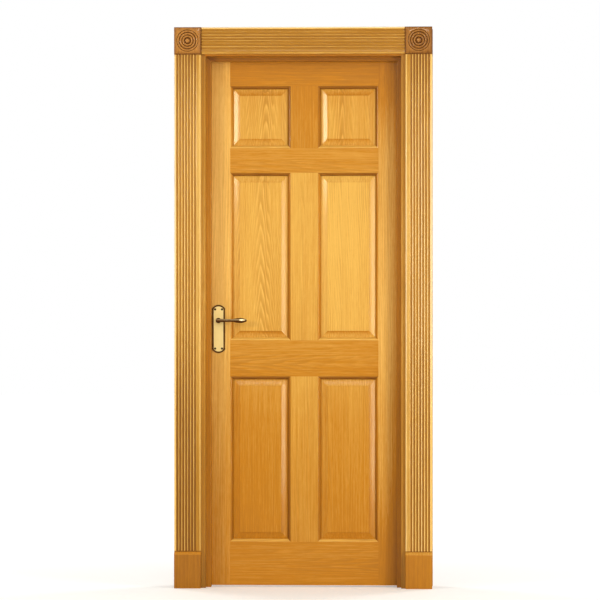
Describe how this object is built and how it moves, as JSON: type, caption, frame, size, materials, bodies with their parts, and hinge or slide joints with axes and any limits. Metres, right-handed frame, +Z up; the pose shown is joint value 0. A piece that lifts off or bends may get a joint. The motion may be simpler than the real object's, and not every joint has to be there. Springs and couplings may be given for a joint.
{
  "type": "panelled door with its frame",
  "caption": "Panelled oak door leaf hung in its lining, with fluted casings, turned corner blocks, plinth blocks, a mortice latch and brass lever handles on arched backplates.",
  "frame": {"origin": "on the finished floor, midway between the linings, in the plane of the wall's front face", "axes": "+Z up; +Y through the wall, from the front face to the side the leaf opens to; +X to the right of someone facing the front, towards the hinges"},
  "size_m": [0.964, 0.2145, 2.096],
  "materials": {
    "casing_oak": "honey-coloured oak, satin varnish",
    "lining_oak": "honey-coloured oak, satin varnish",
    "leaf_oak": "golden oak, satin varnish",
    "panel_oak": "golden oak with flat-sawn figure, satin varnish",
    "dowel_beech": "bare beech",
    "plate_brass": "satin brass with darkened edges",
    "lever_brass": "antiqued brass, polished",
    "dark_screw": "darkened brass",
    "hinge_brass": "satin brass",
    "latch_steel": "zinc-plated steel"
  },
  "bodies": {
    "frame": {"lining_latch_side": "lining_oak", "lining_hinge_side": "lining_oak", "lining_head": "lining_oak", "stop_latch_side": "lining_oak", "stop_hinge_side": "lining_oak", "stop_head": "lining_oak", "casing_front_head": "casing_oak", "casing_rear_head": "casing_oak", "strike_plate": "plate_brass", "strike_screws": "hinge_brass", "hinge_pins": "hinge_brass", "hinge_lining_screws": "hinge_brass", "hinge_top_lining_flap": "hinge_brass", "hinge_middle_lining_flap": "hinge_brass", "hinge_bottom_lining_flap": "hinge_brass", "casing_front_latch_side": "casing_oak", "casing_front_hinge_side": "casing_oak", "casing_rear_latch_side": "casing_oak", "casing_rear_hinge_side": "casing_oak", "corner_block_front_latch_side": "casing_oak", "corner_block_front_hinge_side": "casing_oak", "corner_block_rear_latch_side": "casing_oak", "corner_block_rear_hinge_side": "casing_oak", "plinth_block_front_latch_side": "casing_oak", "plinth_block_front_hinge_side": "casing_oak", "plinth_block_rear_latch_side": "casing_oak", "plinth_block_rear_hinge_side": "casing_oak"},
    "leaf": {"stile_latch_side": "leaf_oak", "stile_hinge_side": "leaf_oak", "rail_top": "leaf_oak", "rail_frieze": "leaf_oak", "rail_lock": "leaf_oak", "rail_bottom": "leaf_oak", "muntin_top": "leaf_oak", "muntin_middle": "leaf_oak", "muntin_bottom": "leaf_oak", "rail_dowels": "dowel_beech", "hinge_top_leaf_flap": "hinge_brass", "hinge_middle_leaf_flap": "hinge_brass", "hinge_bottom_leaf_flap": "hinge_brass", "hinge_leaf_screws": "hinge_brass", "latch_case": "latch_steel", "latch_forend": "plate_brass", "latch_forend_screws": "hinge_brass", "backplate_front": "plate_brass", "backplate_rear": "plate_brass", "backplate_screws": "dark_screw", "panel_top_latch_side": "panel_oak", "panel_top_hinge_side": "panel_oak", "panel_middle_latch_side": "panel_oak", "panel_middle_hinge_side": "panel_oak", "panel_bottom_latch_side": "panel_oak", "panel_bottom_hinge_side": "panel_oak"},
    "levers": {"lever_front": "lever_brass", "lever_rear": "lever_brass", "spindle": "latch_steel", "latch_follower": "latch_steel"},
    "latch": {"latch_bolt": "latch_steel"}
  },
  "joints": [
    {"name": "door_swing", "type": "hinge", "parent": "frame", "child": "leaf", "pos_m": [0.3645, 0.139, 1], "axis": [0, 0, -1], "range_deg": [0, 110]},
    {"name": "lever_turn", "type": "hinge", "parent": "leaf", "child": "levers", "pos_m": [-0.3225, 0.11, 1], "axis": [0, 1, 0], "range_deg": [0, 45], "stiffness_Nm_per_rad": 1.2, "springref_deg": -34.38},
    {"name": "latch_slide", "type": "slide", "parent": "leaf", "child": "latch", "axis": [1, 0, 0], "range_m": [0, 0.0121]}
  ],
  "couplings": [
    {"joint": "latch_slide", "follows": "lever_turn", "m_per_rad": 0.015279}
  ]
}
